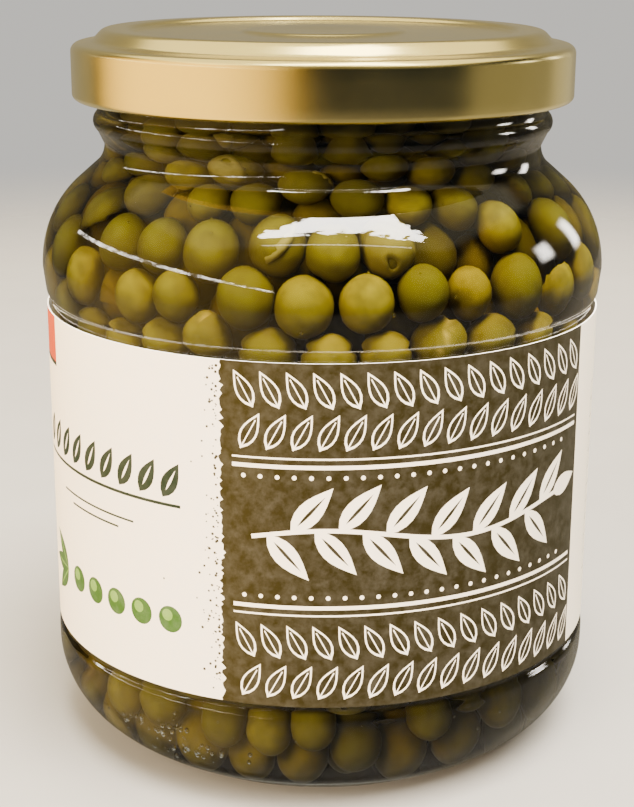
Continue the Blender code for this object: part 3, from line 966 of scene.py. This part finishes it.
material, add = new_material("loose_pea_skin")
place = add("TexCoord").outputs["Object"]
tone = add("Attribute", attribute_name="pea_tone").outputs["Fac"]
folds = add("TexNoise", {"Vector": place, "Scale": 1.0 / FOLD, "Detail": 1.0})
pale = add("Mix", {"Factor": tone, "A": "#5C5318", "B": "#7A7038"}, data_type="RGBA")
blotch = add("Mix", {"Factor": folds, "A": pale, "B": "#4A4314"}, data_type="RGBA")
wrinkle = add("Bump", {"Height": folds, "Strength": 0.4, "Distance": 0.05 * MM})
skin = add("BsdfPrincipled", {
    "Base Color": blotch, "Roughness": 0.5, "Specular IOR Level": 0.2, "Normal": wrinkle,
})
add("OutputMaterial", {"Surface": skin})
skins.data.materials.append(material)
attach(skins, "jar")
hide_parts("peas")
print("loose skins:", len(skins.data.polygons), "quads")

# %% Bubbles
CLUSTER_DEG, CLUSTER_HEIGHT = -34.0, 8.6
SHOULDER_HEIGHTS, FOOT_HEIGHTS = (67.0, 82.0), (7.0, 15.0)
CLUSTER_COUNT, STRAY_COUNT = 60, 90
BUBBLE_SMALLEST, BUBBLE_LARGEST = 0.12 * MM, 0.42 * MM

climbing = np.array(inner_jar_line())[2:]


def bubble_at(azimuth, height, radius):
    """A place on the wall for a bubble, or None where a pea is in the way."""
    wall = float(np.interp(height, climbing[:, 1], climbing[:, 0])) - radius - 0.08 * MM
    centre = np.array([wall * math.sin(azimuth), -wall * math.cos(azimuth), height])
    crowded = (np.linalg.norm(places - centre, axis=1) < sizes + 0.3 * radius).any()
    return None if crowded else centre


draw = np.random.default_rng(PEA_SEED + 3)
directions, quads = make_ball(4)
parts = []
while len(parts) < CLUSTER_COUNT + STRAY_COUNT:
    radius = draw.uniform(BUBBLE_SMALLEST, BUBBLE_LARGEST)
    if len(parts) < CLUSTER_COUNT:
        azimuth = math.radians(draw.normal(CLUSTER_DEG, 7.0))
        height = draw.normal(CLUSTER_HEIGHT, 1.6) * MM
    else:
        azimuth = draw.uniform(-math.pi, math.pi)
        height = draw.choice([draw.uniform(*SHOULDER_HEIGHTS), draw.uniform(*FOOT_HEIGHTS)]) * MM
        radius *= 0.6
    centre = bubble_at(azimuth, height, radius)
    if centre is not None:
        parts.append((centre + directions * radius, quads))
bubbles = join_parts("air_bubbles", parts, {})
material, add = new_material("air_in_brine")
place = add("TexCoord").outputs["Object"]
film = add("TexNoise", {"Vector": place, "Scale": 1.0 / (0.5 * MM)})
haze = add("MapRange", {"Value": film, "To Max": 0.06})
air = add("BsdfPrincipled", {
    "Base Color": "#FFFFFF", "Roughness": haze, "IOR": 1.0 / BRINE_IOR, "Transmission Weight": 1.0,
})
add("OutputMaterial", {"Surface": air})
bubbles.data.materials.append(material)
bubbles.visible_shadow = False
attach(bubbles, "jar")
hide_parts("brine")
print("bubbles:", len(parts))

# %% [markdown]
# ## The lid
# A twist-off cap is stamped from tinplate sheet: knee, ledge and a raised ring
# over the seal are pressed into it, and the lower edge is rolled inwards into a
# curl that stiffens it and carries four lugs. The sheet is drawn here as one
# centre line, which is then given its thickness on both sides and turned.

# %% Lid shape
LID_SHEET = 0.34 * MM
CURL_RADIUS = 0.8 * MM
KNEE_RADIUS = 1.2 * MM
LEDGE_HEIGHT = 100.6 * MM
LEDGE_SLOPE = 0.3 * MM
STEP_WIDTH = 1.5 * MM
RING_RADIUS = 30.8 * MM
RING_INNER_RADIUS = 27.6 * MM
RING_SLOPE = 0.8 * MM
PANEL_DROP = 0.6 * MM
BUTTON_RADIUS = 11.0 * MM
BUTTON_RISE = 0.35 * MM
BUTTON_DISH = 0.25 * MM
LUG_RADIUS = 32.3 * MM
LUG_HALF_DEG = 3.75
LID_SIDES = 240


def lid_line():
    """The sheet's centre line, from the curl's free end up and in to the middle."""
    half = 0.5 * LID_SHEET
    curl_middle = (LID_RADIUS - CURL_RADIUS, LID_BOTTOM + CURL_RADIUS)
    knee_middle = (LID_RADIUS - KNEE_RADIUS, LEDGE_HEIGHT - KNEE_RADIUS)
    top = LID_TOP - half
    panel = top - PANEL_DROP
    button = panel + BUTTON_RISE
    return rounded([
        *arc(curl_middle, CURL_RADIUS - half, 120.0, 360.0, 20),
        *arc(knee_middle, KNEE_RADIUS - half, 0.0, 80.0, 10),
        (RING_RADIUS + STEP_WIDTH, LEDGE_HEIGHT + LEDGE_SLOPE - half, 0.5 * MM),
        (RING_RADIUS, top, 0.7 * MM),
        (RING_INNER_RADIUS, top, 0.5 * MM),
        (RING_INNER_RADIUS - RING_SLOPE, panel, 0.4 * MM),
        (BUTTON_RADIUS + RING_SLOPE, panel, 0.5 * MM),
        (BUTTON_RADIUS, button, 0.5 * MM),
        (0.7 * BUTTON_RADIUS, button, 1.5 * MM),
        (0.0, button - BUTTON_DISH),
    ])


def lug_share(angle):
    """1 along a lug's straight part and 0 between the lugs."""
    pitch = 360.0 / THREAD_STARTS
    away = abs((math.degrees(angle) - LUG_AT_DEG + 0.5 * pitch) % pitch - 0.5 * pitch)
    share = 1.0 - min(max((away - LUG_HALF_DEG) / (2.0 * LUG_HALF_DEG), 0.0), 1.0)
    return share * share * (3.0 - 2.0 * share)


def draw_in_lugs(radius, height, angle):
    """Draws the rolled lower edge inwards where a lug stands."""
    curl_middle = LID_RADIUS - CURL_RADIUS
    if radius > curl_middle or height > LID_BOTTOM + 2.2 * CURL_RADIUS:
        return radius
    depth = (curl_middle - radius) / CURL_RADIUS
    return radius - (curl_middle - CURL_RADIUS - LUG_RADIUS) * depth * lug_share(angle)


middle_line = refine(lid_line(), 1.5 * MM)
outside, inside = [offset(middle_line, side * LID_SHEET) for side in (-0.5, 0.5)]
for line in (outside, inside):
    line[-1] = (0.0, line[-1][1])
lid = turn("lid_tinplate", outside + inside[::-1], LID_SIDES, draw_in_lugs)
print("lid:", len(lid.data.polygons), "faces")

# %% [markdown]
# Tin-plated steel under a baked gold lacquer: a metal that reflects softly, since
# the sheet keeps the fine grain of the rolls, with a thin clear coat over it. The
# grain is a few hundredths of a millimetre wide, drawn here at a fifth of a
# millimetre so that it shows. Handling leaves a few faint rubs.

# %% Lid material
ROLL_GRAIN = 0.2 * MM
RUB = 6.0 * MM

material, add = new_material("gold_lacquer_on_tinplate")
place = add("TexCoord").outputs["Object"]
stretched = add("Mapping", {"Vector": place, "Scale": (0.05, 1.0, 1.0)})
grain = add("TexNoise", {"Vector": stretched, "Scale": 1.0 / ROLL_GRAIN, "Detail": 2.0})
rubs = add("TexNoise", {"Vector": place, "Scale": 1.0 / RUB, "Detail": 2.0})
gold = add("Mix", {"Factor": rubs, "A": "#D3C27A", "B": "#D9C983"}, data_type="RGBA")
rough = add("MapRange", {"Value": rubs, "From Min": 0.3, "From Max": 0.7, "To Min": 0.20, "To Max": 0.24})
brush = add("Bump", {"Height": grain, "Strength": 0.04, "Distance": 0.02 * MM})
metal = add("BsdfPrincipled", {
    "Base Color": gold, "Metallic": 1.0, "Roughness": rough, "Normal": brush,
    "Coat Weight": 0.3, "Coat Roughness": 0.12,
})
add("OutputMaterial", {"Surface": metal})
lid.data.materials.append(material)
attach(lid, "lid")
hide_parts("lid_shell")
print("lid finish:", material.name)

# %% [markdown]
# ## The sealing ring
# Plastisol, a soft vinyl that is poured into the cap as a paste and baked. It
# sits on the jar's rim, is off-white and faintly glossy, and has settled into a
# bead with a shallow groove where the rim presses.

# %% Sealing ring
seal_low, seal_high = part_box("sealing_ring")
SEAL_OUTER = seal_high.x
SEAL_INNER = SEAL_OUTER - 2.0 * MM
GROOVE_HALF, GROOVE_DEPTH = 0.5 * MM, 0.1 * MM
LUMP = 1.5 * MM

low, high = seal_low.z, seal_high.z
middle = 0.5 * (SEAL_INNER + SEAL_OUTER)
ring_line = rounded([
    (middle, low + GROOVE_DEPTH),
    (middle + GROOVE_HALF, low, 0.2 * MM),
    (SEAL_OUTER, low, 0.3 * MM),
    (SEAL_OUTER, high, 0.3 * MM),
    (SEAL_INNER, high, 0.3 * MM),
    (SEAL_INNER, low, 0.3 * MM),
    (middle - GROOVE_HALF, low, 0.2 * MM),
    (middle, low + GROOVE_DEPTH),
])
seal = turn("seal_compound", ring_line[:-1], 120)
material, add = new_material("plastisol")
place = add("TexCoord").outputs["Object"]
lumps = add("TexNoise", {"Vector": place, "Scale": 1.0 / LUMP, "Detail": 2.0})
cream = add("Mix", {"Factor": lumps, "A": "#DCD7CB", "B": "#E6E2D8"}, data_type="RGBA")
swell = add("Bump", {"Height": lumps, "Strength": 0.3, "Distance": 0.05 * MM})
vinyl = add("BsdfPrincipled", {"Base Color": cream, "Roughness": 0.42, "IOR": 1.53, "Normal": swell})
add("OutputMaterial", {"Surface": vinyl})
seal.data.materials.append(material)
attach(seal, "seal")
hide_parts("sealing_ring")
print("seal:", len(seal.data.polygons), "faces")

# %% [markdown]
# ## The label's print
# A real label is printed flat: areas of ink on white paper, one over the other.
# It is drawn the same way here, as outlines on a flat sheet whose x runs along the
# paper from the middle of the front and whose y runs up from its lower edge. The
# design is a plain one of leaves, peas and rules in the inks that such a label
# has: an olive field on the right, dark green and white on the left.

# %% Print shapes
LABEL_WRAP_DEG = 346.0
LABEL_WIDTH = math.radians(LABEL_WRAP_DEG) * LABEL_RADIUS
LABEL_HEIGHT = LABEL_TOP - LABEL_BOTTOM
INKS = ["paper", "olive", "dark_green", "leaf_green", "pale_green", "orange", "grey"]
printed = []  # (ink, outline) pairs, in the order of printing


def stamp(ink, outline):
    """Prints an outline of (x, y) points in millimetres."""
    printed.append((INKS.index(ink), [(x * MM, y * MM) for x, y in outline]))


def leaf(x, y, length, width, turn_deg):
    """A pointed leaf that starts at a point and leans by an angle."""
    steps = [n / 7.0 for n in range(8)]
    upper = [(length * t, 0.5 * width * math.sin(math.pi * t ** 0.8)) for t in steps]
    flat = upper + [(u, -v) for u, v in reversed(upper[1:-1])]
    c, s = math.cos(math.radians(turn_deg)), math.sin(math.radians(turn_deg))
    return [(x + c * u - s * v, y + s * u + c * v) for u, v in flat]


def disc(x, y, radius, corners):
    """A round spot."""
    angles = [2.0 * math.pi * n / corners for n in range(corners)]
    return [(x + radius * math.cos(a), y + radius * math.sin(a)) for a in angles]


def bar(x0, y0, x1, y1):
    """An upright rectangle."""
    return [(x0, y0), (x1, y0), (x1, y1), (x0, y1)]


def ribbon(points, width):
    """A line of even width through points."""
    points = [Vector(p) for p in points]
    left, right_side = [], []
    for before, point, after in zip(points[:1] + points, points, points[1:] + points[-1:]):
        along = after - before
        side = Vector((-along.y, along.x)).normalized() * 0.5 * width
        left.append(tuple(point + side))
        right_side.append(tuple(point - side))
    return right_side + left[::-1]


def veined_leaf(x, y, length, width, turn_deg, line):
    """A leaf left white in the olive field, as a thin outline with a midrib."""
    c, s = math.cos(math.radians(turn_deg)), math.sin(math.radians(turn_deg))
    stamp("paper", leaf(x, y, length, width, turn_deg))
    inner = leaf(x + 1.9 * line * c, y + 1.9 * line * s, length - 4.0 * line, width - 2.2 * line, turn_deg)
    stamp("olive", inner)
    stamp("paper", ribbon([(x, y), (x + 0.8 * length * c, y + 0.8 * length * s)], 0.7 * line))


print("label", round(1000 * LABEL_WIDTH), "x", round(1000 * LABEL_HEIGHT), "mm, inks:", INKS[1:])

# %% Olive field
FIELD_LEFT, FIELD_RIGHT = -13.0, 43.5
FIELD_FRAY = 0.22
SPECKS = 150
TALL = LABEL_HEIGHT / MM
BAND_LOW, BAND_HIGH = 14.2, 33.4
THICK_RULE, THIN_RULE, RULE_GAP = 0.55, 0.25, 1.1
LEAN = 62.0
LEAF_PITCH = 3.4

draw = np.random.default_rng(5)
edge = [(FIELD_LEFT + FIELD_FRAY * draw.normal(), y) for y in np.linspace(0.0, TALL, 130)]
stamp("olive", [(FIELD_RIGHT, 0.0), (FIELD_RIGHT, TALL), *reversed(edge)])
for _ in range(SPECKS):
    speck = (FIELD_LEFT - 0.5 - draw.exponential(0.9), draw.uniform(0.8, TALL - 0.8))
    stamp("olive", disc(*speck, draw.uniform(0.06, 0.22), 6))
for height, out in ((BAND_LOW, -RULE_GAP), (BAND_HIGH, RULE_GAP)):
    for middle, width in ((height, THICK_RULE), (height + out, THIN_RULE)):
        stamp("paper", bar(FIELD_LEFT + 1.5, middle - 0.5 * width, FIELD_RIGHT - 1.0, middle + 0.5 * width))
for row, height in enumerate((1.2, 6.9, 35.6, 41.1)):
    for number in range(16):
        x = FIELD_LEFT + 2.6 + LEAF_PITCH * (number + 0.5 * (row % 2))
        veined_leaf(x, height, 5.4, 2.3, 180.0 - LEAN if row % 2 else LEAN, 0.24)
print(len(printed), "areas of ink so far")

# %% Sprig along the middle of the field
SPRIG_HEIGHT = 0.5 * (BAND_LOW + BAND_HIGH)
SPRIG_FROM, SPRIG_TO = -9.0, 37.0


def sprig_line(x):
    """The stem's height at a place."""
    return SPRIG_HEIGHT + 1.1 * math.sin(0.16 * (x - SPRIG_FROM))


stem = [(x, sprig_line(x)) for x in np.linspace(SPRIG_FROM, SPRIG_TO, 40)]
stamp("paper", ribbon(stem, 0.6))
for number, x in enumerate(np.arange(SPRIG_FROM + 2.0, SPRIG_TO - 3.0, 3.1)):
    lean = 48.0 if number % 2 else -48.0
    stamp("paper", leaf(x, sprig_line(x), 8.2, 3.1, lean))
    stamp("olive", leaf(x + 0.9, sprig_line(x) + (0.9 if lean > 0.0 else -0.9), 5.4, 0.45, lean))
stamp("paper", leaf(SPRIG_TO - 0.4, sprig_line(SPRIG_TO), 6.5, 2.9, 12.0))
for side in (-1.0, 1.0):
    for x in np.arange(SPRIG_FROM - 1.0, SPRIG_TO + 3.0, 2.2):
        stamp("paper", disc(x, SPRIG_HEIGHT + side * 8.2, 0.32, 8))
print(len(printed), "areas of ink so far")

# %% White part of the front
PEA_ROW = 10.2
TUFT = -45.2
TABLE_LEFT, TABLE_RIGHT, TABLE_LOW, TABLE_HIGH = 52.0, 68.0, 8.0, 36.6
HAIRLINE = 0.14

for number in range(9):
    x = -53.0 + 3.9 * number
    stamp("dark_green", leaf(x, 27.4, 5.6, 2.5, LEAN))
    stamp("paper", leaf(x + 0.55, 28.4, 3.4, 0.4, LEAN))
for corners in ((-54.0, 26.2, -19.0, 26.65), (-45.0, 22.6, -27.0, 22.9), (-42.0, 21.2, -30.0, 21.5)):
    stamp("dark_green", bar(*corners))
for number in range(5):
    x = -41.0 + 5.0 * number
    stamp("leaf_green", disc(x, PEA_ROW, 1.9, 24))
    stamp("pale_green", disc(x - 0.45, PEA_ROW + 0.55, 0.85, 14))
for lean in (140.0, 180.0, 220.0):
    c, s = math.cos(math.radians(lean)), math.sin(math.radians(lean))
    stamp("leaf_green", leaf(TUFT, PEA_ROW, 7.2, 2.7, lean))
    stamp("pale_green", ribbon([(TUFT, PEA_ROW), (TUFT + 5.4 * c, PEA_ROW + 5.4 * s)], 0.28))
stamp("orange", bar(-66.0, TALL - 6.6, -47.5, TALL))
stamp("dark_green", bar(-66.0, TALL - 7.2, -47.5, TALL - 6.6))
for number in range(12):
    y = TABLE_LOW + 2.6 * number
    stamp("grey", bar(TABLE_LEFT, y, TABLE_RIGHT, y + HAIRLINE))
for x in (TABLE_LEFT, 60.0, TABLE_RIGHT - HAIRLINE):
    stamp("grey", bar(x, TABLE_LOW, x + HAIRLINE, TABLE_HIGH))
print(len(printed), "areas of ink so far")

# %% Back of the label
def back_bar(ink, side, start, end, y, thickness):
    """A rule on the back; side is -1 for the left end of the paper and 1 for the right one."""
    left, right_end = sorted((side * start, side * end))
    stamp(ink, bar(left, y, right_end, y + thickness))


for side in (-1.0, 1.0):
    for number in range(10):
        x = side * (76.0 + 4.0 * number)
        stamp("dark_green", leaf(x, 3.2, 4.6, 2.0, LEAN))
        stamp("leaf_green", leaf(x, 39.0, 4.6, 2.0, LEAN))
    back_bar("olive", side, 75.0, 114.0, 10.0, 0.4)
    back_bar("olive", side, 75.0, 114.0, 36.6, 0.4)
    for number in range(8):
        back_bar("grey", side, 78.0, 111.0, 13.4 + 2.8 * number, HAIRLINE)
print(len(printed), "areas of ink in all")

# %% [markdown]
# The flat sheet is cut into triangles along every outline, and each triangle takes
# the ink that was printed last over it. Upright cuts every two degrees let the
# sheet bend. Then it is wrapped round the jar, and gets the paper's thickness.

# %% Wrapping
LABEL_SHEET = 0.2 * MM
BEND_DEG = 2.0

half = 0.5 * LABEL_WIDTH
corners, edges, areas = [], [], []
sheet = [(-half, 0.0), (half, 0.0), (half, LABEL_HEIGHT), (-half, LABEL_HEIGHT)]
for ink, outline in [(0, sheet), *printed]:
    turned = sum(x0 * y1 - x1 * y0 for (x0, y0), (x1, y1) in zip(outline, outline[1:] + outline[:1]))
    areas.append(list(range(len(corners), len(corners) + len(outline))))
    corners += outline if turned > 0.0 else outline[::-1]
for x in np.arange(-half, half, math.radians(BEND_DEG) * LABEL_RADIUS)[1:]:
    edges.append((len(corners), len(corners) + 1))
    corners += [(x, 0.0), (x, LABEL_HEIGHT)]
points, _, faces, _, _, origins = delaunay_2d_cdt([Vector(c) / MM for c in corners], edges, areas, 1, 1e-4)
angles = [-0.5 * math.pi + point.x * MM / LABEL_RADIUS for point in points]
heights = [LABEL_BOTTOM + point.y * MM for point in points]
wrapped = [(LABEL_RADIUS * math.cos(a), LABEL_RADIUS * math.sin(a), z) for a, z in zip(angles, heights)]
inks = [0] + [ink for ink, _ in printed]
skin = bpy.data.meshes.new("label_skin")
skin.from_pydata(wrapped, [], faces)
for face, covered_by in zip(skin.polygons, origins):
    face.material_index = inks[max(covered_by)]
label = bpy.data.objects.new("label_paper", skin)
bpy.context.collection.objects.link(label)
thick = label.modifiers.new("sheet", "SOLIDIFY")
thick.thickness = LABEL_SHEET
thick.offset = -1.0
thick.material_offset = len(INKS)
thick.material_offset_rim = len(INKS)
print("label:", len(skin.polygons), "triangles")

# %% [markdown]
# The triangles differ much in size, so their averaged normals would show as faint
# stripes in the sheen. The paper is truly round, and so are the normals given here.

# %% Round normals
for _ in range(len(INKS) + 1):
    skin.materials.append(None)
mesh = bpy.data.meshes.new_from_object(label.evaluated_get(bpy.context.evaluated_depsgraph_get()))
mesh.name = "label_paper"
label.modifiers.clear()
label.data = mesh
mesh.shade_smooth()
normals = []
for face in mesh.polygons:
    for corner in face.vertices:
        place = mesh.vertices[corner].co
        out = Vector((place.x, place.y, 0.0)).normalized()
        facing = face.normal.dot(out)
        normals.append(out * round(facing) if abs(facing) > 0.5 else face.normal)
mesh.normals_split_custom_set(normals)
print("label with its thickness:", len(mesh.polygons), "faces")

# %% [markdown]
# ## Paper and inks
# Coated paper is a bright, faintly warm white with a soft sheen. Offset ink lies on
# it in a very thin film, lets a little of the paper's grain through, and is mottled
# where a large area was printed with a dry roller: here over spots 1 to 2 mm wide.

# %% Paper and ink materials
FIBRE = 0.4 * MM
MOTTLE = 1.6 * MM
WHITE_PAPER = "#F4EFE6"


def make_print(name, colour, mottle, worn):
    """Paper under an ink; mottle lightens it in spots, and worn is the share that shows bare paper."""
    material, add = new_material(name)
    place = add("TexCoord").outputs["Object"]
    fibres = add("TexNoise", {"Vector": place, "Scale": 1.0 / FIBRE, "Detail": 3.0})
    spots = add("TexNoise", {"Vector": place, "Scale": 1.0 / MOTTLE, "Detail": 6.0, "Roughness": 0.7})
    light = add("MapRange", {"Value": spots, "From Min": 0.4, "From Max": 0.7, "To Max": mottle})
    dry = add("Mix", {"Factor": light, "A": colour, "B": WHITE_PAPER}, data_type="RGBA")
    bare = add("MapRange", {"Value": spots, "From Min": 0.80 - worn, "From Max": 0.82 - worn})
    tone = add("Mix", {"Factor": bare, "A": dry, "B": WHITE_PAPER}, data_type="RGBA")
    tooth = add("Bump", {"Height": fibres, "Strength": 0.15, "Distance": 0.02 * MM})
    paper = add("BsdfPrincipled", {
        "Base Color": tone, "Roughness": 0.5, "Specular IOR Level": 0.3, "Normal": tooth,
    })
    add("OutputMaterial", {"Surface": paper})
    return material


PRINTS = (  # name, colour, mottle, worn share; in the order of INKS, and the paper's back
    ("coated_white_paper", "#FFF2DC", 0.3, 0.0),
    ("olive_ink", "#231D04", 0.03, 0.03),
    ("dark_green_ink", "#0A1F16", 0.02, 0.0),
    ("leaf_green_ink", "#2C5216", 0.05, 0.0),
    ("pale_green_ink", "#6C9038", 0.06, 0.0),
    ("orange_ink", "#BC4000", 0.03, 0.0),
    ("grey_ink", "#6E6A62", 0.05, 0.0),
    ("paper_back", "#E9E3D8", 0.3, 0.0),
)
for number, choice in enumerate(PRINTS):
    mesh.materials[number] = make_print(*choice)
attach(label, "jar")
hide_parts("paper_label")
print("label materials:", [m.name for m in mesh.materials])
